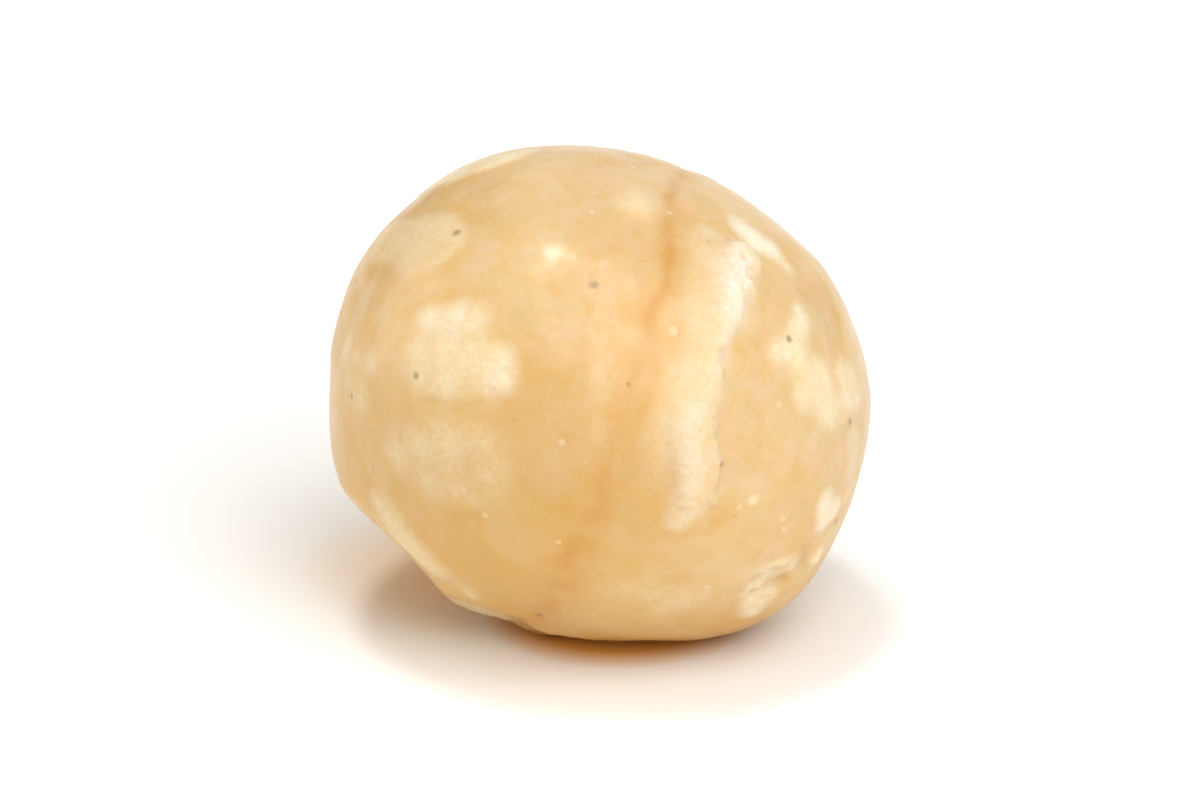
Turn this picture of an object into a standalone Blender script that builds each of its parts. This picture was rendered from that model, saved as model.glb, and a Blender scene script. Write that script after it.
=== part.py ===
"""A shelled macadamia kernel as one closed solid, in metres, +Z up, resting on a small flat spot.

The kernel is a slightly flattened ball. Its own axis runs from the base scar to the tip, and it lies with that
axis leaning to the right and the back. Places on it are given as a longitude and a latitude in degrees about
its own axis: longitude 0 faces the front, longitude grows to the right, and latitude 90 is the tip.
"""

import bmesh
import bpy
import numpy as np

# The ball, before the relief
HALF_WIDTH = 0.01005       # across the two seed halves
HALF_DEPTH = 0.0096        # along the plane of the seam
HALF_HEIGHT = 0.0085       # from the base scar to the tip
MEAN_RADIUS = 0.0094       # turns a distance along the surface into an angle

# How it lies
LEAN = 31.0                # degrees between its axis and the vertical
LEAN_HEADING = 42.0        # degrees from +X towards +Y, the way the tip leans
REST_CUT = 0.00028         # how much of the lowest part the resting spot takes off

# The mesh: a cube with this many squares along an edge, blown up to a ball
SQUARES = 28

# Broad swells and hollows: longitude, latitude, reach in degrees, height
SWELLS = {
    "lower right shoulder": (86, -30, 22, 0.00062),
    "base cheek, left": (-95, -54, 28, 0.00076),
    "underside, front left": (157, -84, 24, 0.00034),
    "underside, back right": (129, -33, 24, -0.00034),
    "left flank": (-94, -8, 28, -0.00030),
    "top, left of the tip": (-94, 60, 34, 0.00026),
    "right flank, top": (86, 54, 20, 0.00022),
    "right flank, middle": (86, 2, 26, -0.00030),
    "front, under the middle": (-20, -38, 30, 0.00010),
    "back, upper half": (176, 34, 30, -0.00020),
    "back, lower half": (172, -14, 24, 0.00022),
    "back left hollow": (-142, 6, 22, -0.00024),
}

# Flattened patches, where the kernel pressed on its shell: longitude, latitude, distance from the middle, softness
FLATS = {
    "base": (-92, -67, 0.00896, 0.00020),
    "right, above the middle": (50, 22, 0.00948, 0.00014),
    "back": (-160, 48, 0.00870, 0.00020),
}

# The seam where the two seed halves meet, all the way round through the tip and the base
SEAM_LONGITUDE = 4.0
SEAM_DEPTH = 0.00016
SEAM_WIDTH = 0.0010
SEAM_WANDER = 0.0004       # how far it strays to either side
TIP_HEIGHT = 0.00016
TIP_RADIUS = 0.0016

# The raised scar on the front, right of the seam: its path from the top, its half width and its height
SCAR_PATH = ((10, 46), (18, 36), (19, 26), (16, 15), (17, 3), (20, -7), (24, -14))
SCAR_HALF_WIDTH = 0.0010
SCAR_HEIGHT = 0.00026

# Small marks: longitude, latitude, radius, height
MARKS = {
    "rubbed plateau, left": (-37, -3, 0.0022, 0.00009),
    "blister under the tip": (-19, 52, 0.0007, 0.00014),
    "plateau, upper left": (-58, 17, 0.0021, 0.00008),
    "pit, left edge": (-64, -20, 0.0008, -0.00012),
    "notch beside the base scar": (84, -78, 0.0010, -0.00024),
    "crumb, right edge": (62, -5, 0.0006, 0.00018),
    "crumb, lower right": (75, -15, 0.0007, 0.00020),
    "dent, back": (140, 8, 0.0016, -0.00018),
    "plateau, back": (-170, -30, 0.0026, 0.00010),
}

# Ring-shaped scars: longitude, latitude, radius of the rim, width of the rim, height of the rim, depth inside
RINGS = {
    "ring scar, lower right": (60, -24, 0.0010, 0.00045, 0.00009, 0.00016),
    "base scar": (-60, -86, 0.0023, 0.0007, 0.00012, 0.00012),
}

KERNEL_COLOUR = (0.82, 0.60, 0.31, 1.0)


def direction(longitude, latitude):
    """The unit vector in the kernel's own axes that a longitude and a latitude give."""
    lon, lat = np.radians(longitude), np.radians(latitude)
    return np.array([np.cos(lat) * np.sin(lon), -np.cos(lat) * np.cos(lon), np.sin(lat)])


def lean_matrix():
    """The turn that leans the kernel's own axis by LEAN towards LEAN_HEADING."""
    lean, heading = np.radians(LEAN), np.radians(LEAN_HEADING)
    x, y = -np.sin(heading), np.cos(heading)
    cross = np.array([[0, 0, y], [0, 0, -x], [-y, x, 0]])
    return np.eye(3) + np.sin(lean) * cross + (1 - np.cos(lean)) * cross @ cross


def bell(distance, reach):
    """1 at no distance, falling smoothly to almost 0 at twice the reach."""
    return np.exp(-((distance / reach) ** 2))


def distance_to(directions, longitude, latitude):
    """Metres along the surface from each direction to a place."""
    return MEAN_RADIUS * np.arccos(np.clip(directions @ direction(longitude, latitude), -1, 1))


def distance_to_path(directions, path):
    """Metres from each direction to the nearest point of a path of places."""
    corners = [direction(longitude, latitude) for longitude, latitude in path]
    nearest = np.full(len(directions), np.inf)
    for start, end in zip(corners, corners[1:]):
        along = np.clip((directions - start) @ (end - start) / ((end - start) @ (end - start)), 0, 1)
        gap = np.linalg.norm(directions - (start + along[:, None] * (end - start)), axis=1)
        nearest = np.minimum(nearest, gap * MEAN_RADIUS)
    return nearest


def ball(directions):
    """The ball's radius along each direction."""
    axes = np.array([HALF_WIDTH, HALF_DEPTH, HALF_HEIGHT])
    return 1 / np.sqrt(((directions / axes) ** 2).sum(axis=1))


def flattened(directions, radius, longitude, latitude, plane, softness):
    """The radius with a cap taken off by a plane, blended in softly where the plane meets the ball."""
    reach = plane / np.maximum(directions @ direction(longitude, latitude), 0.2)
    step = np.clip(0.5 + 0.5 * (reach - radius) / softness, 0, 1)
    return reach * (1 - step) + radius * step - softness * step * (1 - step)


def seam_offset(directions):
    """Metres from each direction to the seam, negative on the left half."""
    lon = np.radians(SEAM_LONGITUDE)
    across = np.array([np.cos(lon), np.sin(lon), 0])
    wander = SEAM_WANDER * np.sin(7 * directions[:, 2] + 2.2 * directions[:, 1])
    return MEAN_RADIUS * (directions @ across) - wander


def kernel_radius(directions):
    """The finished radius along each direction, all relief included."""
    radius = ball(directions)
    for longitude, latitude, reach, height in SWELLS.values():
        radius += height * bell(distance_to(directions, longitude, latitude), MEAN_RADIUS * np.radians(reach))
    for flat in FLATS.values():
        radius = flattened(directions, radius, *flat)
    radius -= SEAM_DEPTH * bell(seam_offset(directions), SEAM_WIDTH)
    radius += TIP_HEIGHT * bell(distance_to(directions, 0, 90), TIP_RADIUS)
    radius += SCAR_HEIGHT * bell(distance_to_path(directions, SCAR_PATH), SCAR_HALF_WIDTH)
    for longitude, latitude, reach, height in MARKS.values():
        radius += height * np.exp(-((distance_to(directions, longitude, latitude) / reach) ** 4))
    for longitude, latitude, rim, width, height, depth in RINGS.values():
        away = distance_to(directions, longitude, latitude)
        radius += height * bell(away - rim, width) - depth * np.exp(-((away / rim) ** 4))
    return radius


def kernel_mesh():
    """A cube blown up to an even ball, each corner moved out to the kernel's radius, leant over and set down."""
    mesh = bpy.data.meshes.new("kernel")
    build = bmesh.new()
    bmesh.ops.create_cube(build, size=2.0)
    bmesh.ops.subdivide_edges(build, edges=build.edges[:], cuts=SQUARES - 1, use_grid_fill=True)
    cube = np.array([corner.co for corner in build.verts])
    even = np.tan(cube * np.pi / 4)
    directions = even / np.linalg.norm(even, axis=1)[:, None]
    points = (directions * kernel_radius(directions)[:, None]) @ lean_matrix().T
    points[:, 2] = np.maximum(points[:, 2], points[:, 2].min() + REST_CUT)
    low, high = points.min(axis=0), points.max(axis=0)
    points -= [(low[0] + high[0]) / 2, (low[1] + high[1]) / 2, low[2]]
    for corner, point in zip(build.verts, points):
        corner.co = point
    build.to_mesh(mesh)
    build.free()
    mesh.shade_smooth()
    return mesh


def kernel_material():
    """Pale waxy cream with a soft sheen."""
    material = bpy.data.materials.new("kernel")
    material.use_nodes = True
    surface = material.node_tree.nodes["Principled BSDF"]
    surface.inputs["Base Color"].default_value = KERNEL_COLOUR
    surface.inputs["Roughness"].default_value = 0.45
    surface.inputs["Metallic"].default_value = 0.0
    return material


for leftover in list(bpy.data.objects):
    bpy.data.objects.remove(leftover)

collection = bpy.data.collections.new("shelled macadamia kernel")
bpy.context.scene.collection.children.link(collection)
kernel = bpy.data.objects.new("kernel", kernel_mesh())
kernel.data.materials.append(kernel_material())
collection.objects.link(kernel)
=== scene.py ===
# Shelled macadamia kernel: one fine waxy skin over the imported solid, on a plain white floor.
# Lengths in the dictionaries are millimetres unless a note says otherwise. Places are (longitude, latitude)
# in degrees about the kernel's own axis: longitude 0 faces the front and grows to the right, latitude 90 is
# the tip and -90 the base.
import math

import bpy
import numpy as np
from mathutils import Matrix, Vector


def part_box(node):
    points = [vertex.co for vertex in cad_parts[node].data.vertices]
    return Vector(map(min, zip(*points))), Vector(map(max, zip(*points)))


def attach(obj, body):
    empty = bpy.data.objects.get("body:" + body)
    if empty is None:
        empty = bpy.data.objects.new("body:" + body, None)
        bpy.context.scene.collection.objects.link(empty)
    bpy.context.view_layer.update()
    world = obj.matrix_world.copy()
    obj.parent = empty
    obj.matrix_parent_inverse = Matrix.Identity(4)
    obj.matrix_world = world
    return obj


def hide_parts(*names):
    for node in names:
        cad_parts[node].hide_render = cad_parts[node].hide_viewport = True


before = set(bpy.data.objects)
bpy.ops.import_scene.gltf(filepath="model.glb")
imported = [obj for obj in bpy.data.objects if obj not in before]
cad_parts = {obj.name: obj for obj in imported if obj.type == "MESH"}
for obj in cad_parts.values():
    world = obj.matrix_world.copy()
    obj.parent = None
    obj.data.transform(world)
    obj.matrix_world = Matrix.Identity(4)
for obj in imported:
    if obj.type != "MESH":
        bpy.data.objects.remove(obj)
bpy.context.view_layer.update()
cadLow, cadHigh = (np.array(corner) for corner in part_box("kernel"))
print("frame loaded")

mm = 0.001

# The kernel's main form, the same ball, swells and flats as the solid under it
kernelForm = {
    "halfWidth": 10.05,
    "halfDepth": 9.6,
    "halfHeight": 8.5,
    "meanRadius": 9.4,
    "lean": 31.0,              # degrees between its axis and the vertical
    "leanHeading": 42.0,       # degrees from +X towards +Y, the way the tip leans
    "squares": 128,            # along one edge of each of the ball's six patches
    "leastFacing": 0.2,        # cosine at which a flat's reach stops growing, near its horizon
    "swells": {                # place, reach in degrees, height
        "lowerRightShoulder": (86, -30, 22, 0.62),
        "baseCheekLeft": (-95, -54, 28, 0.76),
        "undersideFrontLeft": (157, -84, 24, 0.34),
        "undersideBackRight": (129, -33, 24, -0.34),
        "leftFlank": (-94, -8, 28, -0.30),
        "topLeftOfTip": (-94, 60, 34, 0.26),
        "rightFlankTop": (86, 54, 20, 0.22),
        "rightFlankMiddle": (86, 2, 26, -0.30),
        "frontUnderMiddle": (-20, -38, 30, 0.10),
        "backUpper": (176, 34, 30, -0.20),
        "backLower": (172, -14, 24, 0.22),
        "backLeftHollow": (-142, 6, 22, -0.24),
    },
    "flats": {                 # place, distance from the middle, softness
        "base": (-92, -67, 8.96, 0.20),
        "rightAboveMiddle": (50, 22, 9.48, 0.14),
        "back": (-160, 48, 8.70, 0.20),
    },
}

# The seam between the seed halves, by degrees turned round its circle: 0 is the front, 90 the tip, -90 the base
seam = {
    "longitude": 4.0,
    "turn": (-90, -58, -41, -28, -17, -8, 0, 8, 15, 22, 31, 40, 52, 68, 90, 120, 160, 200, 240, 270),
    "drift": (0.3, 0.64, 0.19, 0.07, -0.08, -0.30, -0.42, -0.52, -0.64, -0.60, -0.55, -0.82, -1.15, -1.0,
              -0.3, 0.35, -0.25, 0.3, -0.2, 0.3),
    "lineFade": (0.5, 0.25, 0.18, 0.22, 0.30, 0.32, 0.26, 0.26, 0.34, 0.4, 0.46, 0.6, 0.7, 0.65,
                 0.6, 0.7, 0.6, 0.7, 0.6, 0.6),
    "lineWidth": (0.25, 0.30, 0.34, 0.32, 0.26, 0.22, 0.22, 0.22, 0.20, 0.20, 0.22, 0.25, 0.25, 0.22,
                  0.18, 0.18, 0.18, 0.18, 0.18, 0.18),
    "bandFade": (0.6, 0.8, 0.85, 0.8, 0.75, 0.7, 0.80, 0.95, 1.0, 1.0, 0.95, 0.9, 0.7, 0.4,
                 0.3, 0.5, 0.45, 0.5, 0.45, 0.4),
    "bandWidth": (0.7, 0.8, 0.8, 0.75, 0.7, 0.75, 0.85, 0.95, 1.0, 1.0, 0.9, 0.8, 0.75, 0.6,
                  0.6, 0.7, 0.8, 0.8, 0.7, 0.6),
    "rounding": 4,             # degrees of turn over which the line and band tables are rounded
    "driftRounding": 5,
    "breakShare": 0.45,        # how much of the line comes and goes
    "breakRange": (-0.8, 0.8),
    "bandShift": 0.15,         # the orange band's middle, right of the line
    "bandEvenness": 0.8,
    "valleyDepth": 0.11,
    "valleyWidth": 1.1,
    "lineDepth": 0.03,
    "fibreStretch": 6,         # how many times longer than wide the fibres beside it are
    "fibreLength": 4.0,
    "fibreSeed": 12,
    "fibreReach": 3.0,
    "fibreHeight": 0.010,
    "fibreGold": 0.05,
    "tipHeight": 0.16,
    "tipRadius": 1.6,
}

# The raised scar right of the seam: longitudes of its left foot, its crest and its ragged right edge, by
# latitude, and how strong and wide the chalk along its crest is
scar = {
    "latitude": (-19, -10, -2, 5, 10, 15, 22, 28, 37, 44, 50),
    "foot": (21, 16, 10.5, 8.5, 9, 8.5, 7, 5.5, 3.5, 1, 0),
    "crest": (24, 21, 17.5, 16, 17.5, 17, 17.5, 18.5, 19, 20, 22),
    "edge": (28, 28, 25, 21.5, 21, 20, 21, 23, 25, 28, 33),
    "glow": (0.2, 0.38, 0.48, 0.42, 0.26, 0.30, 0.46, 0.76, 1.0, 1.0, 0.9),
    "glowWidth": (0.3, 0.6, 0.85, 0.8, 0.4, 0.3, 0.35, 0.6, 0.75, 0.75, 0.6),
    "rounding": 2.5,           # degrees of latitude over which the tables are rounded
    "height": 0.26,
    "fall": 0.45,              # width of the drop at its right edge
    "raggedness": 0.20,        # how far the right edge strays
    "wornLength": 2.0,
    "wornSeed": 41,
    "footWorn": 0.5,           # shares of that straying at the foot and along the crest
    "crestWorn": 0.4,
    "ends": (-14, 49),         # latitudes where it runs out
    "endFade": 4,              # degrees on each side of them
    "endsWorn": (12, 8),       # degrees that they stray for each millimetre at the right edge
    "footFade": (-0.45, 0.55), # from and to, past the foot, where its paleness comes in
    "edgeFade": (-0.2, 0.3),   # and before the right edge, where it goes
    "bodyPale": 0.26,
    "crestChalk": 0.88,
}

# Waves that make lines stray and the skin uneven: strength, wavelength, seed
waviness = {
    "seamWobble": (0.05, 1.6, 13),
    "seamBreaks": (1.0, 2.5, 11),
    "bandDrift": (0.2, 1.6, 6),
    "scratchWobble": (0.05, 0.8, 23),
    "ringWobble": (0.10, 0.9, 21),
    "broadSwell": (0.040, 5.5, 1),
    "middleSwell": (0.014, 2.4, 2),
    "fineSwell": (0.003, 1.0, 3),
    "rubbedGrain": (0.008, 0.45, 4),
    "goldLine": (7, 6.0, 5),   # its strength in degrees of latitude
    "goldDrift": (0.2, 3.0, 8),
}


def placeOn(longitude, latitude):
    # the unit vector, in the kernel's own axes, of a place
    lon, lat = math.radians(longitude), math.radians(latitude)
    return np.array([math.cos(lat) * math.sin(lon), -math.cos(lat) * math.cos(lon), math.sin(lat)])


def leanMatrix():
    # turn by the lean about the level line square to its heading (Rodrigues' formula)
    lean, heading = math.radians(kernelForm["lean"]), math.radians(kernelForm["leanHeading"])
    x, y = -math.sin(heading), math.cos(heading)
    cross = np.array([[0, 0, y], [0, 0, -x], [-y, x, 0]])
    return np.eye(3) + math.sin(lean) * cross + (1 - math.cos(lean)) * cross @ cross


def awayFrom(ways, longitude, latitude):
    # distance along the surface: mean radius times the angle between the two directions
    cosine = np.clip(ways @ placeOn(longitude, latitude), -1, 1)
    return kernelForm["meanRadius"] * np.arccos(cosine)


def bell(distance, reach, power=2):
    # 1 in the middle, exp(-(d / reach) to the power) outwards: a higher power has a flatter top
    return np.exp(-((distance / reach) ** power))


def rampUp(value, low, high):
    # 0 below low, 1 above high, with the cubic 3t2 - 2t3 between
    t = np.clip((value - low) / (high - low), 0, 1)
    return t * t * (3 - 2 * t)


def softInterp(value, knots, levels, spread):
    # a table read at five points spread about the value and averaged, which rounds its corners
    return sum(np.interp(value + spread * step, knots, levels) for step in (-1, -0.5, 0, 0.5, 1)) / 5


def ripples(points, wavelength, seed, waves=24, spread=(0.7, 1.4)):
    # a smooth random field: the sum of plane sine waves in seeded directions, scaled to a spread of 1
    rng = np.random.default_rng(seed)
    aims = rng.normal(size=(waves, 3))
    aims *= (rng.uniform(*spread, waves) / np.linalg.norm(aims, axis=1))[:, None]
    phases = rng.uniform(0, 2 * math.pi, waves)
    return np.sin(points @ aims.T * (2 * math.pi / wavelength) + phases).sum(axis=1) * math.sqrt(2 / waves)


def wavy(points, name):
    # one of the named waves at its strength
    strength, wavelength, seed = waviness[name]
    return strength * ripples(points, wavelength, seed)


def crumble(points, wavelength, seed, layers=3, fade=0.6, scale=1.3):
    # layers of ripples, each half as long and 0.6 as strong as the last, scaled to a spread near 1
    return sum(fade ** i * ripples(points, wavelength / 2 ** i, seed + i) for i in range(layers)) / scale


def ballRadius(ways):
    # an ellipsoid's radius: 1 over the root of the sum of (direction / half axis) squared
    axes = np.array([kernelForm["halfWidth"], kernelForm["halfDepth"], kernelForm["halfHeight"]])
    return 1 / np.sqrt(((ways / axes) ** 2).sum(axis=1))


def pressFlat(ways, radius, longitude, latitude, plane, softness):
    # the smaller of the radius and a plane's reach, blended with a polynomial smooth minimum
    reach = plane / np.maximum(ways @ placeOn(longitude, latitude), kernelForm["leastFacing"])
    t = np.clip(0.5 + 0.5 * (reach - radius) / softness, 0, 1)
    return reach * (1 - t) + radius * t - softness * t * (1 - t)


def mainForm(ways):
    # ball plus bell-shaped swells, then the flats
    radius = ballRadius(ways)
    for longitude, latitude, reach, height in kernelForm["swells"].values():
        arc = kernelForm["meanRadius"] * math.radians(reach)
        radius += height * bell(awayFrom(ways, longitude, latitude), arc)
    for flat in kernelForm["flats"].values():
        radius = pressFlat(ways, radius, *flat)
    return radius


def seamAcross(ways):
    # distance from the seam's plane, less the drift read at the angle turned round the seam's circle
    lon = math.radians(seam["longitude"])
    across = ways @ np.array([math.cos(lon), math.sin(lon), 0])
    forward = ways @ np.array([math.sin(lon), -math.cos(lon), 0])
    turn = (np.degrees(np.arctan2(ways[:, 2], forward)) + 90) % 360 - 90
    drift = softInterp(turn, seam["turn"], seam["drift"], seam["driftRounding"])
    return kernelForm["meanRadius"] * across - drift, turn


def tipRelief(ways):
    # a low bell of the tip's radius round the tip
    return seam["tipHeight"] * bell(awayFrom(ways, 0, 90), seam["tipRadius"])


def latitudes(ways):
    # degrees above the middle
    return np.degrees(np.arcsin(np.clip(ways[:, 2], -1, 1)))


def scarRelief(ways, points):
    # across the scar, in millimetres: a slow rise from its foot to its crest, then a ragged drop at its edge
    lon = np.degrees(np.arctan2(ways[:, 0], -ways[:, 1]))
    lat = latitudes(ways)
    toArc = kernelForm["meanRadius"] * math.radians(1) * np.cos(np.radians(lat))
    tables = ("foot", "crest", "edge", "glow", "glowWidth")
    levels = (softInterp(lat, scar["latitude"], scar[name], scar["rounding"]) for name in tables)
    foot, crest, edge, glow, glowWidth = levels
    pastFoot, pastCrest, beforeEdge = (lon - foot) * toArc, (lon - crest) * toArc, (edge - lon) * toArc
    worn = scar["raggedness"] * crumble(points, scar["wornLength"], scar["wornSeed"])
    rise = rampUp(pastFoot, 0, (crest - foot) * toArc)
    drop = rampUp(beforeEdge + worn, 0, scar["fall"])
    (low, high), (lowWorn, highWorn), fade = scar["ends"], scar["endsWorn"], scar["endFade"]
    ends = rampUp(lat + lowWorn * worn, low - fade, low + fade)
    ends *= rampUp(high - lat + highWorn * worn, -fade, fade)
    body = ends * rampUp(pastFoot + scar["footWorn"] * worn, *scar["footFade"])
    body *= rampUp(beforeEdge + worn, *scar["edgeFade"])
    crestGlow = glow * ends * bell(pastCrest + scar["crestWorn"] * worn, glowWidth)
    return scar["height"] * rise * drop * ends, body, crestGlow


# Rubbed patches: discs (longitude, latitude, radius) run together, with how pale, how chalky and how raised
# they are, the half width of their soft edge, how far that edge strays, and for one its golden halo's strength
patches = {
    "left": {
        "discs": ((-46.5, 0, 0.4), (-40, 3, 0.45), (-35, 4, 0.25), (-47, -5.5, 0.45), (-44.5, -11, 0.35),
                  (-38.5, -3.5, 0.8), (-36.5, -9, 0.6), (-30.5, -3.5, 0.7), (-28.5, -7.5, 0.5), (-26, -1, 0.2)),
        "pale": 0.62, "chalk": 0.05, "lift": 0.02, "soft": 0.52, "stray": 0.12,
    },
    "leftChalkTop": {
        "discs": ((-46.5, 0.5, 0.35), (-40, 3.5, 0.4), (-35, 4, 0.25)),
        "pale": 0.70, "chalk": 0.50, "lift": 0.01, "soft": 0.52, "stray": 0.10,
    },
    "leftChalkRight": {
        "discs": ((-26, -0.5, 0.3), (-25, -4.5, 0.3)),
        "pale": 0.66, "chalk": 0.42, "lift": 0.01, "soft": 0.52, "stray": 0.10,
    },
    "lowLeft": {
        "discs": ((-49, -30.5, 0.4), (-40.5, -25.5, 0.7), (-32, -23.5, 0.7), (-24, -19, 0.4), (-22.5, -26, 0.4),
                  (-38, -32.5, 0.35), (-29, -31, 0.35)),
        "pale": 0.62, "chalk": 0.02, "lift": 0.01, "soft": 0.90, "stray": 0.10,
    },
    "upperLeftDisc": {
        "discs": ((-56.5, 16.5, 1.0), (-63, 15.5, 1.2), (-72, 14.5, 1.0), (-81, 13, 0.8)),
        "pale": 0.32, "chalk": 0.05, "lift": 0.06, "soft": 0.26, "stray": 0.08, "halo": 0.26,
    },
    "upperLeftRim": {
        "discs": ((-89, 27, 0.45), (-85, 31, 0.6), (-80, 35, 0.7), (-76, 40, 0.7), (-75, 45, 0.55),
                  (-78, 50, 0.35)),
        "pale": 0.58, "chalk": 0.25, "lift": 0.05, "soft": 0.25, "stray": 0.12,
    },
    "leftOval": {
        "discs": ((-62.5, -20.5, 0.45), (-69, -18.5, 0.35)),
        "pale": 0.36, "chalk": 0.03, "lift": 0.02, "soft": 0.50, "stray": 0.12,
    },
    "leftEdgeChalk": {
        "discs": ((-73, -11.5, 0.3), (-67, -12, 0.3), (-60, -12, 0.25)),
        "pale": 0.44, "chalk": 0.20, "lift": 0.01, "soft": 0.42, "stray": 0.12,
    },
    "right": {
        "discs": ((41.5, 36.5, 0.25), (41.5, 32, 0.3), (33, 24, 0.3), (40, 24, 0.6), (48.5, 21.5, 0.85),
                  (54, 17, 0.75), (61.5, 20.5, 0.6), (43.5, 18, 0.5), (58, 26, 0.35), (67, 21, 0.4)),
        "pale": 0.66, "chalk": 0.07, "lift": 0.02, "soft": 0.38, "stray": 0.14,
    },
    "rightChalk": {
        "discs": ((41.5, 36, 0.22), (41.5, 32, 0.2), (36, 24.5, 0.25), (62, 20, 0.35)),
        "pale": 0.68, "chalk": 0.36, "lift": 0.02, "soft": 0.34, "stray": 0.12,
    },
    "rightEdgeStrip": {
        "discs": ((66, 12, 0.35), (70, 9, 0.35), (69, 5.5, 0.3)),
        "pale": 0.24, "chalk": 0.08, "lift": 0.03, "soft": 0.34, "stray": 0.14,
    },
    "upperRight": {
        "discs": ((28, 57.5, 0.35), (34, 54.5, 0.2), (40, 53, 0.5), (30, 52.5, 0.1), (44, 49, 0.15)),
        "pale": 0.74, "chalk": 0.60, "lift": 0.02, "soft": 0.44, "stray": 0.20,
    },
    "upperRightPink": {
        "discs": ((9, 50, 0.3), (13, 49, 0.2)),
        "pale": 0.40, "chalk": 0.14, "lift": 0.02, "soft": 0.36, "stray": 0.10,
    },
    "crumbField": {
        "discs": ((60, -2.5, 0.35), (64, -6, 0.3), (67, -3, 0.25)),
        "pale": 0.64, "chalk": 0.42, "lift": 0.06, "soft": 0.28, "stray": 0.12,
    },
    "ringRub": {
        "discs": ((57.5, -27, 0.3), (57, -21.5, 0.3), (61.5, -18.5, 0.3), (65, -25, 0.3), (69, -31, 0.15)),
        "pale": 0.60, "chalk": 0.28, "lift": 0.02, "soft": 0.36, "stray": 0.16,
    },
    "lowerLeftStrip": {
        "discs": ((-60.5, -43.5, 0.55), (-57, -47.5, 0.55), (-53.5, -52, 0.6), (-48.5, -56.5, 0.6),
                  (-46, -61, 0.5), (-31, -68, 0.2)),
        "pale": 0.50, "chalk": 0.06, "lift": 0.14, "soft": 0.50, "stray": 0.12,
    },
    "underMiddle": {
        "discs": ((27, -41, 0.2), (35, -40, 0.4), (43, -38.5, 0.3), (41, -43, 0.2)),
        "pale": 0.46, "chalk": 0.03, "lift": 0.01, "soft": 1.20, "stray": 0.20,
    },
    "scarTail": {
        "discs": ((22, -11.5, 0.45), (25.5, -14, 0.45), (25, -17, 0.3)),
        "pale": 0.50, "chalk": 0.18, "lift": 0.03, "soft": 0.45, "stray": 0.18,
    },
    "backRub": {
        "discs": ((176, -28, 1.6), (168, -33, 1.3), (-176, -22, 1.1), (160, -27, 0.8)),
        "pale": 0.58, "chalk": 0.16, "lift": 0.05, "soft": 0.45, "stray": 0.22,
    },
    "backRubChalk": {
        "discs": ((172, -33, 0.6), (-178, -23, 0.5)),
        "pale": 0.70, "chalk": 0.50, "lift": 0.02, "soft": 0.40, "stray": 0.18,
    },
    "backUpperRub": {
        "discs": ((140, 28, 1.1), (148, 34, 0.9), (136, 20, 0.8)),
        "pale": 0.54, "chalk": 0.18, "lift": 0.03, "soft": 0.55, "stray": 0.20,
    },
    "rightRub": {
        "discs": ((104, -4, 1.0), (110, 4, 1.2), (118, 2, 0.8), (100, 6, 0.6)),
        "pale": 0.50, "chalk": 0.14, "lift": 0.03, "soft": 0.60, "stray": 0.20,
    },
    "leftRub": {
        "discs": ((-118, -12, 1.2), (-126, -6, 1.0), (-112, -20, 0.8)),
        "pale": 0.50, "chalk": 0.15, "lift": 0.04, "soft": 0.60, "stray": 0.20,
    },
    "topRub": {
        "discs": ((150, 74, 0.8), (120, 76, 0.6), (165, 66, 0.6)),
        "pale": 0.45, "chalk": 0.12, "lift": 0.03, "soft": 0.50, "stray": 0.20,
    },
    "baseRub": {
        "discs": ((-90, -84, 1.6), (-120, -80, 1.0)),
        "pale": 0.40, "chalk": 0.15, "lift": 0.03, "soft": 0.60, "stray": 0.25,
    },
}

# What the patches' edges share
patchEdge = {
    "merging": 3.0,            # how tightly discs run together: higher keeps each disc's own outline
    "inset": 0.05,
    "ripples": ((2.2, 0.85), (0.8, 0.15)),  # wavelengths that the edge strays by, and their shares
    "halo": 0.08,              # strength of the golden halo where a patch gives none
    "haloOut": 0.10,           # its middle, out from the soft edge
    "haloWidth": 0.35,
    "firstSeed": 60,
    "seedStep": 4,
}

# Scratches: places along each, half width, depth, how dark
scratches = {
    "underLeftPatch": (((-43, -15.5), (-34, -13.5), (-27.5, -11)), 0.13, 0.012, 0.22),
    "slash": (((56, -28), (55.5, -24), (58, -20.5), (61, -18.5)), 0.16, 0.06, 0.46),
    "slashRight": (((60, -27.5), (61.5, -24), (65, -21)), 0.13, 0.05, 0.38),
    "besideScar": (((27, -3), (26, -9)), 0.12, 0.02, 0.20),
    "groove": (((62, -12.5), (66, -15.5), (69.5, -16.5)), 0.20, 0.10, 0.35),
    "back": (((-160, 22), (-152, 17), (-149, 10)), 0.10, 0.02, 0.22),
}

# Deeper golden sides, and paler ones (below 0), partly the kernel's own tone and partly painted light and
# shade: place, reach, strength
goldenSidesAndPaintedLight = {
    # painted shade and glow of light through the thin left rim
    "left": (-88, -4, 3.2, 0.95),
    # painted shade that darkens the brightly lit middle
    "front": (2, 26, 4.0, 0.22),
    "besidePatch": (-14, 2, 2.6, -0.30),
    "frontLow": (0, -40, 3.8, 0.42),
    "rightOfScar": (30, 8, 2.6, -0.25),
    # painted shade on the brightly lit top rim
    "top": (-60, 74, 3.6, 0.12),
    # painted light that brightens a side the lamps leave dim
    "lowerLeft": (-42, -32, 3.2, -0.22),
    # painted shade and glow of light through the thin right rim
    "right": (88, -2, 3.0, 0.95),
    "back": (160, 14, 4.5, 0.45),
    "lowerRight": (48, -22, 3.4, -0.36),
}

# Gold deepens downwards, from one to the other of these degrees below the middle: partly the base's own golden
# colour, partly painted shade of the underside
lowerGoldAndShade = {
    "strength": 0.80,
    "below": (-20, 50),
}

# Ring scars: place, rim radius, rim width, rim height, depth inside
rings = {
    "lowerRight": (61.5, -24, 0.95, 0.28, 0.09, 0.14),
    "base": (-60, -86, 2.3, 0.6, 0.10, 0.12),
    "backLeft": (-150, -8, 0.7, 0.25, 0.05, 0.08),
}

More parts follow.
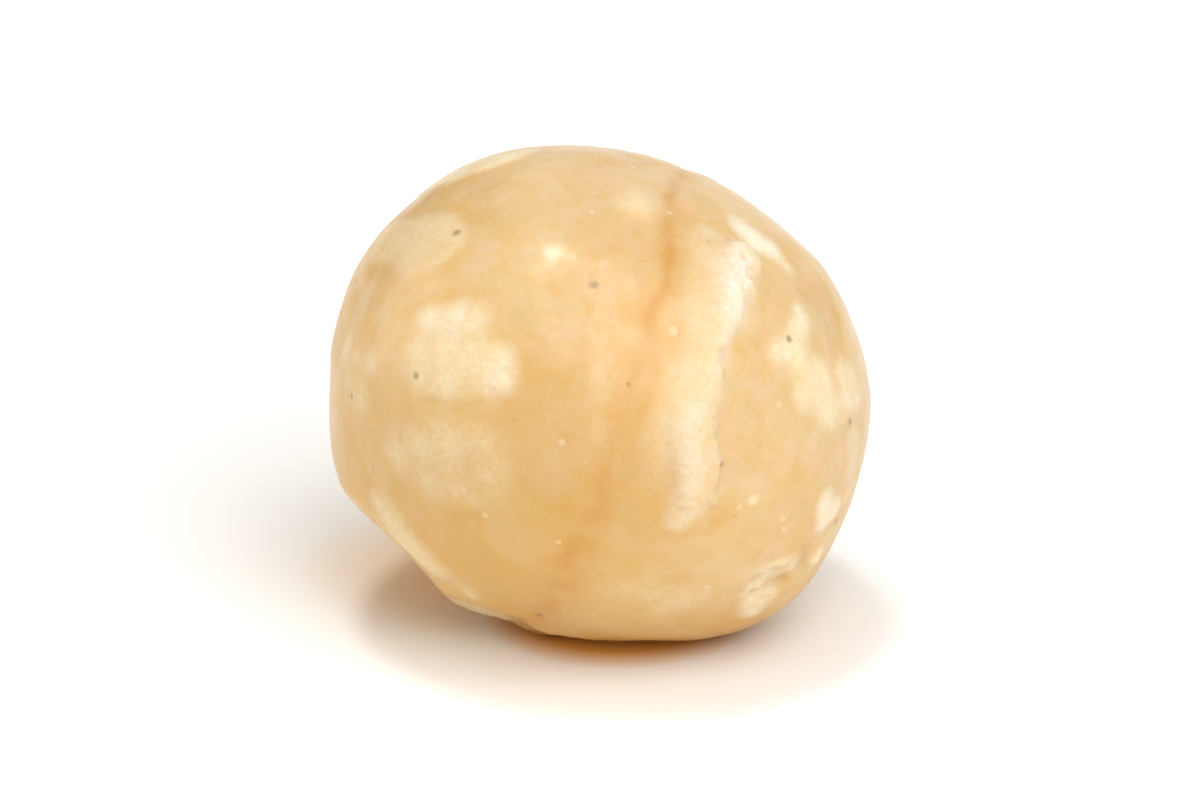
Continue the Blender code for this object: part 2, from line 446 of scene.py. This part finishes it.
# Single bumps (above 0) and dents (below 0): place, radius, height, how pale
bumps = {
    "blisterUnderTip": (-18, 50, 0.92, 0.13, 0.48),
    "crumbYellow": (70.5, 0, 0.30, 0.10, 0.4),
    "chipLowerRight": (71, -14, 0.42, 0.14, 0.75),
    "ringHeart": (60, -25.5, 0.30, 0.08, 0.8),
    "palePoint": (38, -8, 0.20, 0.02, 0.8),
    "notchAtBase": (84, -78, 1.0, -0.24, 0.0),
    "pitLeft": (-64, -15.5, 0.55, -0.06, 0.0),
    "dentBack": (140, 8, 1.6, -0.18, 0.0),
}

# Dark specks seen on the front: place, radius
specks = {
    "upperLeft": (-54, 20.5, 0.13),
    "underGlint": (-15.5, 22, 0.14),
    "leftPatch": (-45.5, -11, 0.12),
    "rightPatch": (36.5, 28, 0.12),
    "rightPatchLow": (64.5, 15.5, 0.12),
    "crumb": (73, -5.5, 0.14),
    "scarFoot": (26, -3.5, 0.10),
    "seam": (0.5, 4.5, 0.08),
    "leftEdge": (-68, -20.5, 0.10),
    "notch": (16, -70, 0.14),
}

# Fine dimples all over, and dark specks on the sides that the photo doesn't show
scatter = {
    "seed": 7,
    "darkSpecks": 34,          # on the whole ball, before those on the front are left out
    "frontLimit": 0.15,        # cosine from the front past which they are left out
    "speckRadius": (0.06, 0.13),
    "speckSpread": 3.0,        # a speck's dent, in its radii
    "speckSlope": (0.2, 0.9),
    "speckDepth": 0.03,
    "dimples": 90,
    "dimpleRadius": (0.25, 0.6),
    "dimpleSlope": (0, 0.8),
    "dimpleDepth": 0.006,
}

# A thin dry film that lies over the skin in clouds
filmClouds = {
    "length": 6.0,
    "seed": 51,
    "range": (-0.4, 0.5),
    "thickness": 0.010,
}


def patchMask(ways, points, patch, seed):
    # how far inside the discs, run together by the log of summed exponentials and strayed by ripples, then
    # turned into a mask with a soft edge and a thin halo round it
    merging = patchEdge["merging"]
    depths = [radius - awayFrom(ways, lon, lat) for lon, lat, radius in patch["discs"]]
    inside = np.log(sum(np.exp(merging * depth) for depth in depths)) / merging - patchEdge["inset"]
    parts = enumerate(patchEdge["ripples"])
    inside += patch["stray"] * sum(share * ripples(points, length, seed + i) for i, (length, share) in parts)
    soft = patch["soft"]
    ring = bell(inside + soft + patchEdge["haloOut"], patchEdge["haloWidth"])
    return rampUp(inside, -soft, soft), patch.get("halo", patchEdge["halo"]) * ring


def awayFromLine(ways, places):
    # distance along the surface to the nearest point of a line of places, by the chord to each straight stretch
    corners = [placeOn(*place) for place in places]
    nearest = np.full(len(ways), np.inf)
    for start, end in zip(corners, corners[1:]):
        stretch = end - start
        along = np.clip((ways - start) @ stretch / (stretch @ stretch), 0, 1)
        gap = np.linalg.norm(ways - start - along[:, None] * stretch, axis=1)
        nearest = np.minimum(nearest, gap * kernelForm["meanRadius"])
    return nearest


def scatteredPlaces(count, rng):
    # even on the ball: unit vectors from three normal draws
    ways = rng.normal(size=(count, 3))
    return ways / np.linalg.norm(ways, axis=1)[:, None]


def coneOver(ways, centres, reaches):
    # the highest of many cones: 1 at each centre, falling to 0 at its reach
    total = np.zeros(len(ways))
    for centre, reach in zip(centres, reaches):
        near = np.flatnonzero(ways @ centre > math.cos(reach / kernelForm["meanRadius"]))
        away = kernelForm["meanRadius"] * np.arccos(np.clip(ways[near] @ centre, -1, 1))
        total[near] = np.maximum(total[near], 1 - away / reach)
    return total


def scatteredMarks(ways):
    # the depth of all dimples and speck dents, and the specks' own mask
    rng = np.random.default_rng(scatter["seed"])
    dimples = scatteredPlaces(scatter["dimples"], rng)
    radii = rng.uniform(*scatter["dimpleRadius"], len(dimples))
    depth = scatter["dimpleDepth"] * rampUp(coneOver(ways, dimples, radii), *scatter["dimpleSlope"])
    seen = [placeOn(lon, lat) for lon, lat, size in specks.values()]
    hidden = scatteredPlaces(scatter["darkSpecks"], rng)
    hidden = hidden[hidden @ placeOn(0, 0) < scatter["frontLimit"]]
    sizes = [size for lon, lat, size in specks.values()]
    sizes = np.r_[sizes, rng.uniform(*scatter["speckRadius"], len(hidden))]
    speck = coneOver(ways, np.r_[seen, hidden], scatter["speckSpread"] * sizes)
    return depth + scatter["speckDepth"] * rampUp(speck, *scatter["speckSlope"]), speck


def dressedSurface(ways):
    # radius and masks of the finished skin, one value for each direction
    form = mainForm(ways)
    points = ways * form[:, None]
    across, turn = seamAcross(ways)
    along = np.radians(turn) * kernelForm["meanRadius"]
    tables = ("lineFade", "lineWidth", "bandFade", "bandWidth")
    levels = (softInterp(turn, seam["turn"], seam[name], seam["rounding"]) for name in tables)
    lineFade, lineWidth, bandFade, bandWidth = levels
    fibrePoints = np.c_[across * seam["fibreStretch"], along, 0 * along]
    fibre = ripples(fibrePoints, seam["fibreLength"], seam["fibreSeed"]) * bell(across, seam["fibreReach"])

    radius = form + tipRelief(ways) - seam["valleyDepth"] * bell(across, seam["valleyWidth"])
    kept = 1 - seam["breakShare"] * (1 - rampUp(wavy(points, "seamBreaks"), *seam["breakRange"]))
    line = bell(across + wavy(points, "seamWobble"), lineWidth) * lineFade * kept
    radius += seam["fibreHeight"] * fibre - seam["lineDepth"] * line

    lift, scarBody, crestGlow = scarRelief(ways, points)
    radius += lift

    haze, chalk, halo, cut = scar["bodyPale"] * scarBody, scar["crestChalk"] * crestGlow, 0, 0
    for order, patch in enumerate(patches.values()):
        mask, ring = patchMask(ways, points, patch, patchEdge["firstSeed"] + patchEdge["seedStep"] * order)
        radius += patch["lift"] * mask
        chalk = np.maximum(chalk, patch["chalk"] * mask)
        haze = np.maximum(haze, patch["pale"] * mask)
        halo = np.maximum(halo, ring)
    wobble = wavy(points, "scratchWobble")
    for places, halfWidth, depth, darkness in scratches.values():
        near = bell(awayFromLine(ways, places) + wobble, halfWidth)
        radius -= depth * near
        cut = np.maximum(cut, darkness * near)
    wobble = wavy(points, "ringWobble")
    for lon, lat, rim, width, height, depth in rings.values():
        away = awayFrom(ways, lon, lat) + wobble
        radius += height * bell(away - rim, width) - depth * bell(away, rim, power=4)
    for lon, lat, reach, height, whiteness in bumps.values():
        bump = bell(awayFrom(ways, lon, lat), reach, power=3)
        radius += height * bump
        haze = np.maximum(haze, whiteness * bump)
    depth, speck = scatteredMarks(ways)
    radius -= depth

    film = rampUp(crumble(points, filmClouds["length"], filmClouds["seed"]), *filmClouds["range"])
    radius += filmClouds["thickness"] * film
    radius += wavy(points, "broadSwell") + wavy(points, "middleSwell")
    radius += wavy(points, "fineSwell") + haze * wavy(points, "rubbedGrain")

    # gold deepening downwards: partly the base's own colour, partly painted shade
    gold = lowerGoldAndShade["strength"] * rampUp(wavy(points, "goldLine") - latitudes(ways), *lowerGoldAndShade["below"])
    uneven = 1 + wavy(points, "goldDrift")
    # golden and paler sides: partly own tone, partly painted light and shade
    for lon, lat, reach, strength in goldenSidesAndPaintedLight.values():
        gold += strength * bell(awayFrom(ways, lon, lat), reach) * uneven
    gold = np.clip(gold + halo + seam["fibreGold"] * fibre, 0, 1)
    band = bell(across - seam["bandShift"], bandWidth) * bandFade
    band *= seam["bandEvenness"] + wavy(points, "bandDrift")
    masks = {"haze": haze, "chalk": chalk, "gold": gold, "band": band, "line": line, "cut": cut, "speck": speck,
             "film": film, "fibre": fibre}
    return radius, masks


def sixPatches(squares):
    # a cube as a whole-number lattice: each side is a grid of two parameters, and shared edge points are welded
    steps = np.arange(-squares, squares + 1, 2)
    a, b = (grid.ravel() for grid in np.meshgrid(steps, steps, indexing="ij"))
    corner = np.arange((squares + 1) ** 2).reshape(squares + 1, squares + 1)
    square = (corner[:-1, :-1], corner[1:, :-1], corner[1:, 1:], corner[:-1, 1:])
    quads = np.stack(square, axis=-1).reshape(-1, 4)
    sides, faces = [], []
    for axis in range(3):
        for side in (1, -1):
            lattice = np.empty((len(a), 3), int)
            lattice[:, axis] = side * squares
            lattice[:, (axis + 1) % 3] = a if side > 0 else b
            lattice[:, (axis + 2) % 3] = b if side > 0 else a
            faces.append(quads + len(sides) * len(a))
            sides.append(lattice)
    lattice, weld = np.unique(np.concatenate(sides), axis=0, return_inverse=True)
    return lattice, weld.reshape(-1)[np.concatenate(faces)]


def setDown(points):
    # shift the skin so that its top and its middle meet the solid's box, and flatten what would go below
    # the floor
    low, high = points.min(axis=0), points.max(axis=0)
    shift = (cadLow + cadHigh) / 2 - (low + high) / 2
    shift[2] = cadHigh[2] - high[2]
    points = points + shift
    points[:, 2] = np.maximum(points[:, 2], cadLow[2])
    return points


def makeKernel():
    # an even ball from the tangent-spaced lattice, each point carried out to the dressed radius
    lattice, quads = sixPatches(kernelForm["squares"])
    even = np.tan(lattice / kernelForm["squares"] * math.pi / 4)
    ways = even / np.linalg.norm(even, axis=1)[:, None]
    radius, masks = dressedSurface(ways)
    points = setDown((ways * radius[:, None]) @ leanMatrix().T * mm)
    mesh = bpy.data.meshes.new("macadamiaKernel")
    mesh.from_pydata(points, [], quads)
    mesh.shade_smooth()
    for name, values in masks.items():
        attribute = mesh.attributes.new(name, "FLOAT", "POINT")
        attribute.data.foreach_set("value", values.astype(np.float32))
    kernel = bpy.data.objects.new("macadamiaKernel", mesh)
    bpy.context.scene.collection.objects.link(kernel)
    return kernel


class Wire:
    # one output socket; arithmetic on it adds Math nodes, and make() adds any other node
    def __init__(self, tree, socket=None):
        self.tree = tree
        self.socket = socket

    def make(self, kind, settings=None, sockets=None, output=0):
        node = self.tree.nodes.new(kind)
        for name, value in (settings or {}).items():
            setattr(node, name, value)
        for name, value in (sockets or {}).items():
            if isinstance(value, Wire):
                self.tree.links.new(value.socket, node.inputs[name])
            else:
                node.inputs[name].default_value = value
        return Wire(self.tree, node.outputs[output])

    def math(self, operation, first, second):
        return self.make("ShaderNodeMath", {"operation": operation}, {0: first, 1: second})

    def __add__(self, other):
        return self.math("ADD", self, other)

    def __radd__(self, other):
        return self.math("ADD", other, self)

    def __sub__(self, other):
        return self.math("SUBTRACT", self, other)

    def __rsub__(self, other):
        return self.math("SUBTRACT", other, self)

    def __mul__(self, other):
        return self.math("MULTIPLY", self, other)

    def __rmul__(self, other):
        return self.math("MULTIPLY", other, self)

    def between(self, low, high):
        # 0 at low, 1 at high, clamped
        sockets = {"Value": self, "From Min": low, "From Max": high}
        return self.make("ShaderNodeMapRange", {"clamp": True}, sockets, "Result")

    def blend(self, low, high):
        # a colour mix, from low to high, with this mask as its factor: its colours are sockets 6 and 7
        return self.make("ShaderNodeMix", {"data_type": "RGBA"}, {0: self, 6: low, 7: high}, 2)


waxySkin = {
    "cream": (0.660, 0.452, 0.202, 1),
    "peach": (0.680, 0.492, 0.275, 1),
    "rosy": (0.72, 0.49, 0.295, 1),
    "gold": (0.645, 0.380, 0.10, 1),
    # painted shade: a deeper gold laid on the skin just above the floor
    "contactShadeGold": (0.62, 0.31, 0.055, 1),
    "seamOrange": (0.63, 0.325, 0.075, 1),
    "lineBrown": (0.54, 0.25, 0.05, 1),
    "paleFilm": (0.83, 0.715, 0.47, 1),
    "chalkWhite": (0.86, 0.815, 0.71, 1),
    "speckBrown": (0.20, 0.12, 0.06, 1),
    "grains": {                # fractal noises round 0.5: size, detail
        "clouds": (4.5, 3.0),
        "mottle": (1.1, 3.0),
        "fine": (0.30, 4.0),
        "grit": (0.20, 4.0),
    },
    "grainRoughness": 0.55,
    "crispGrit": (0.35, 0.62), # the grit's own range, stretched to 0 and 1 for the chalk
    "dots": {                  # spacing, share of the cells left empty, largest radius
        "flecks": (1.3, 0.45, 0.20),
        "pits": (1.0, 0.5, 0.14),
    },
    "dotEdge": 0.03,           # of the spacing
    "peachShares": {"clouds": 0.40, "mottle": 0.35, "fine": 0.25},
    "fibrePeach": 0.05,
    "peachRange": (0.40, 0.60),
    "stains": (                # size and detail of the noise, where it starts and is full, strength, colour
        (2.0, 3.0, 0.44, 0.62, 0.46, "gold"),
        (1.4, 2.0, 0.46, 0.60, 0.45, "rosy"),
        (0.55, 2.0, 0.50, 0.66, 0.35, "gold"),
    ),
    "drifts": {                # what a mask is multiplied by: a base and the share of each grain
        "pale": (0.45, {"mottle": 0.8, "fine": 0.3}),
        "chalk": (0.2, {"crispGrit": 0.4, "mottle": 0.9}),
        "gold": (0.6, {"mottle": 0.8}),
        "band": (0.35, {"mottle": 0.9}),
    },
    "dustReach": 0.3,          # how pale the skin is where the dust is full
    "dust": {"grit": 0.30, "fine": 0.45},
    "contactShadeHeights": (0.0002, 0.0032),   # metres above the floor where the painted contact shade is full and where it is gone
    "strengths": {"film": 0.12, "line": 0.8, "pits": 0.16, "flecks": 0.35, "cut": 0.8, "speck": 0.62},
    "speckGrain": 0.5,         # how much fine grain breaks up a speck's edge
    "speckRange": (0.45, 0.85),
    "roughness": 0.46,
    "roughnessGains": {"pale": 0.16, "chalk": 0.20, "mottle": 0.14},
    "relief": {"grit": 0.45, "fine": 0.6, "rubbedFine": 0.9, "rubbed": 0.3, "flecks": 0.3, "pits": 0.6},
    "bumpDepth": 0.00004,      # metres
    "gloss": 0.40,             # coat weight away from the rubbed patches
    "glossLost": 0.9,          # share of it that the palest skin loses
    "glossRoughness": 0.16,
    "sheenTint": (1.0, 0.78, 0.48, 1),
    "bend": 1.40,              # index of refraction
    "scatter": 0.45,
    "scatterReach": (1.0, 0.45, 0.18),
    "scatterScale": 0.0020,    # metres
}


def kernelMaterial():
    look = waxySkin
    material = bpy.data.materials.new("waxySkin")
    material.use_nodes = True
    tree = material.node_tree
    shader = tree.nodes["Principled BSDF"]
    start = Wire(tree)
    place = start.make("ShaderNodeTexCoord", output="Object")
    height = start.make("ShaderNodeSeparateXYZ", sockets={0: place}, output="Z")

    def mask(name):
        return start.make("ShaderNodeAttribute", {"attribute_name": name}, output="Fac")

    def grain(size, detail):
        sockets = {"Vector": place, "Scale": 1 / (size * mm), "Detail": detail}
        sockets["Roughness"] = look["grainRoughness"]
        return start.make("ShaderNodeTexNoise", sockets=sockets, output="Fac")

    def dots(spacing, empty, size):
        # 1 inside small round dots: what each cell's own random value has over the empty share sets its radius
        sockets = {"Vector": place, "Scale": 1 / (spacing * mm)}
        away = start.make("ShaderNodeTexVoronoi", sockets=sockets, output="Distance")
        cell = start.make("ShaderNodeTexVoronoi", sockets=sockets, output="Color")
        chance = start.make("ShaderNodeSeparateColor", sockets={0: cell}, output=0)
        return ((chance - empty) * (size / spacing / (1 - empty)) - away).between(0.0, look["dotEdge"])

    names = ("haze", "chalk", "gold", "band", "line", "cut", "speck", "film", "fibre")
    haze, chalk, gold, band, line, cut, speck, film, fibre = (mask(name) for name in names)
    grains = {name: grain(*values) for name, values in look["grains"].items()}
    grains["crispGrit"] = grains["grit"].between(*look["crispGrit"])
    mottle, fine, grit = grains["mottle"], grains["fine"], grains["grit"]
    flecks, pits = (dots(*look["dots"][name]) for name in ("flecks", "pits"))
    strengths, gains, relief = look["strengths"], look["roughnessGains"], look["relief"]

    def drifting(wire, name):
        # a mask times a base plus each grain at its share, held between 0 and 1
        base, shares = look["drifts"][name]
        for part, share in shares.items():
            base = grains[part] * share + base
        return (wire * base).between(0.0, 1.0)

    # the rubbed skin is dusty: its edge breaks up in fine grains, and its paleness drifts
    dust = (grit - 0.5) * look["dust"]["grit"] + (fine - 0.5) * look["dust"]["fine"]
    rubbed = haze + haze.between(0.0, look["dustReach"]) * dust
    pale, chalky = drifting(rubbed, "pale"), drifting(chalk, "chalk")
    spot = (speck + (fine - 0.5) * look["speckGrain"]).between(*look["speckRange"])

    # colours are laid on one over the other, from the body up to the specks
    peachy = fibre * look["fibrePeach"]
    for name, share in look["peachShares"].items():
        peachy = peachy + grains[name] * share
    body = peachy.between(*look["peachRange"]).blend(look["cream"], look["peach"])
    for size, detail, low, high, strength, colour in look["stains"]:
        body = (grain(size, detail).between(low, high) * strength).blend(body, look[colour])
    layers = (
        # the gold mask holds the golden tone and also the painted shade of the base, rims, top and front
        (drifting(gold, "gold"), "gold"),
        # painted shade near the floor, deepest where the kernel meets it
        (1 - height.between(*look["contactShadeHeights"]), "contactShadeGold"),
        (film * strengths["film"], "paleFilm"),
        (drifting(band, "band"), "seamOrange"),
        (line * strengths["line"], "lineBrown"),
        (pits * strengths["pits"], "lineBrown"),
        (pale, "paleFilm"),
        (flecks * strengths["flecks"], "paleFilm"),
        (chalky, "chalkWhite"),
        (cut * strengths["cut"], "lineBrown"),
        (spot * strengths["speck"], "speckBrown"),
    )
    for layer, colour in layers:
        body = layer.blend(body, look[colour])

    roughness = pale * gains["pale"] + chalky * gains["chalk"] + (mottle - 0.5) * gains["mottle"]
    roughness = roughness + look["roughness"]
    bumps = grit * relief["grit"] + fine * ((pale + chalky) * relief["rubbedFine"] + relief["fine"])
    bumps = bumps + rubbed * relief["rubbed"] + flecks * relief["flecks"] - pits * relief["pits"]
    sockets = {"Height": bumps, "Strength": 1.0, "Distance": look["bumpDepth"]}
    normal = start.make("ShaderNodeBump", sockets=sockets)
    gloss = look["gloss"] - pale * (look["glossLost"] * look["gloss"])
    varied = {"Base Color": body, "Roughness": roughness, "Normal": normal, "Coat Weight": gloss}
    for name, wire in varied.items():
        tree.links.new(wire.socket, shader.inputs[name])
    constants = {
        "Coat Roughness": look["glossRoughness"],
        "IOR": look["bend"],
        "Specular Tint": look["sheenTint"],
        "Subsurface Weight": look["scatter"],
        "Subsurface Radius": look["scatterReach"],
        "Subsurface Scale": look["scatterScale"],
    }
    for name, value in constants.items():
        shader.inputs[name].default_value = value
    return material


kernel = makeKernel()
kernel.data.materials.append(kernelMaterial())
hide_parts("kernel")
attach(kernel, "root")
print("kernel dressed:", len(kernel.data.polygons), "squares")


studio = {
    "floorHalf": 3.0,          # metres
    "floorWhite": (0.95, 0.95, 0.95, 1),
    "floorRoughness": 0.7,
    "floorSheen": 0.2,
    "paintedShadowAmber": (0.94, 0.52, 0.09, 1),    # painted amber glow and shadow tint on the floor, for light that the waxy flesh would pass down to it
    "paintedShadowPools": {            # painted amber shadow tint: middle, how far from it the tint is full and how far it is gone, strength
        "foot": ((0.7, -0.1, 0.0), 3.4, 5.0, 0.95),
        "shade": ((-5.0, 4.5, 0.0), 2.0, 6.4, 0.42),
    },
    "skyWhite": (1.0, 1.0, 1.0, 1),
    "skyStrength": 0.08,
    # degrees round to the right from the camera's side, degrees up, width in degrees, strength, colour
    "lamps": {
        "key": (37, 45, 54, 1.44, (1.0, 1.0, 1.0)),
        "high": (20, 62, 56, 1.02, (1.0, 1.0, 1.0)),
        "low": (30, 14, 50, 0.86, (1.0, 1.0, 1.0)),
        "left": (-98, 15, 50, 1.34, (1.0, 0.91, 0.74)),
        "glint": (-115, 82, 12, 0.78, (1.0, 1.0, 1.0)),
        "glintTail": (-66, 77, 9, 0.12, (1.0, 1.0, 1.0)),
        "back": (165, 26, 56, 0.60, (1.0, 0.92, 0.80)),
    },
    "lampDistance": 0.6,       # metres, only for where a lamp's sign stands
    "elevation": 22.0,         # the camera's, in degrees
    "lens": 500.0,
    "sensor": 36.0,
    "clip": (0.01, 20.0),      # metres
    "distance": 0.60,          # metres
    "aimHeight": 8.4,          # above the floor
}


def makeFloor():
    mesh = bpy.data.meshes.new("floor")
    half = studio["floorHalf"]
    corners = [(-half, -half, 0), (half, -half, 0), (half, half, 0), (-half, half, 0)]
    mesh.from_pydata(corners, [], [(0, 1, 2, 3)])
    floor = bpy.data.objects.new("floor", mesh)
    bpy.context.scene.collection.objects.link(floor)
    material = bpy.data.materials.new("floorWhite")
    material.use_nodes = True
    shader = material.node_tree.nodes["Principled BSDF"]
    start = Wire(material.node_tree)
    place = start.make("ShaderNodeTexCoord", output="Object")
    colour = studio["floorWhite"]
    # paint the amber glow and warm shadow into the floor's colour round the kernel's foot and in its shadow
    for middle, full, gone, strength in studio["paintedShadowPools"].values():
        point = tuple(mm * part for part in middle)
        away = start.make("ShaderNodeVectorMath", {"operation": "DISTANCE"}, {0: place, 1: point}, "Value")
        colour = (strength - strength * away.between(full * mm, gone * mm)).blend(colour, studio["paintedShadowAmber"])
    material.node_tree.links.new(colour.socket, shader.inputs["Base Color"])
    shader.inputs["Roughness"].default_value = studio["floorRoughness"]
    shader.inputs["Specular IOR Level"].default_value = studio["floorSheen"]
    mesh.materials.append(material)


def aimed(thing, azimuth, elevation, distance):
    # stood at that distance from the kernel's middle and turned to it; azimuth 0 is the camera's side
    a, e = math.radians(azimuth), math.radians(elevation)
    middle = Vector((0, 0, studio["aimHeight"] * mm))
    outward = Vector((math.sin(a) * math.cos(e), -math.cos(a) * math.cos(e), math.sin(e)))
    thing.location = middle + distance * outward
    thing.rotation_euler = (-outward).to_track_quat("-Z", "Y").to_euler()
    bpy.context.scene.collection.objects.link(thing)


def makeLights():
    world = bpy.data.worlds.new("whiteTent")
    world.use_nodes = True
    sky = world.node_tree.nodes["Background"]
    sky.inputs["Color"].default_value = studio["skyWhite"]
    sky.inputs["Strength"].default_value = studio["skyStrength"]
    bpy.context.scene.world = world
    for name, (azimuth, elevation, width, strength, colour) in studio["lamps"].items():
        lamp = bpy.data.lights.new(name, "SUN")
        lamp.angle = math.radians(width)
        lamp.energy = strength
        lamp.color = colour
        aimed(bpy.data.objects.new(name, lamp), azimuth, elevation, studio["lampDistance"])


def makeCamera():
    camera = bpy.data.objects.new("camera", bpy.data.cameras.new("camera"))
    camera.data.lens = studio["lens"]
    camera.data.sensor_width = studio["sensor"]
    camera.data.clip_start, camera.data.clip_end = studio["clip"]
    aimed(camera, 0, studio["elevation"], studio["distance"])
    bpy.context.scene.camera = camera


makeFloor()
makeLights()
makeCamera()
bpy.context.scene.view_settings.view_transform = "Standard"
print("studio ready")
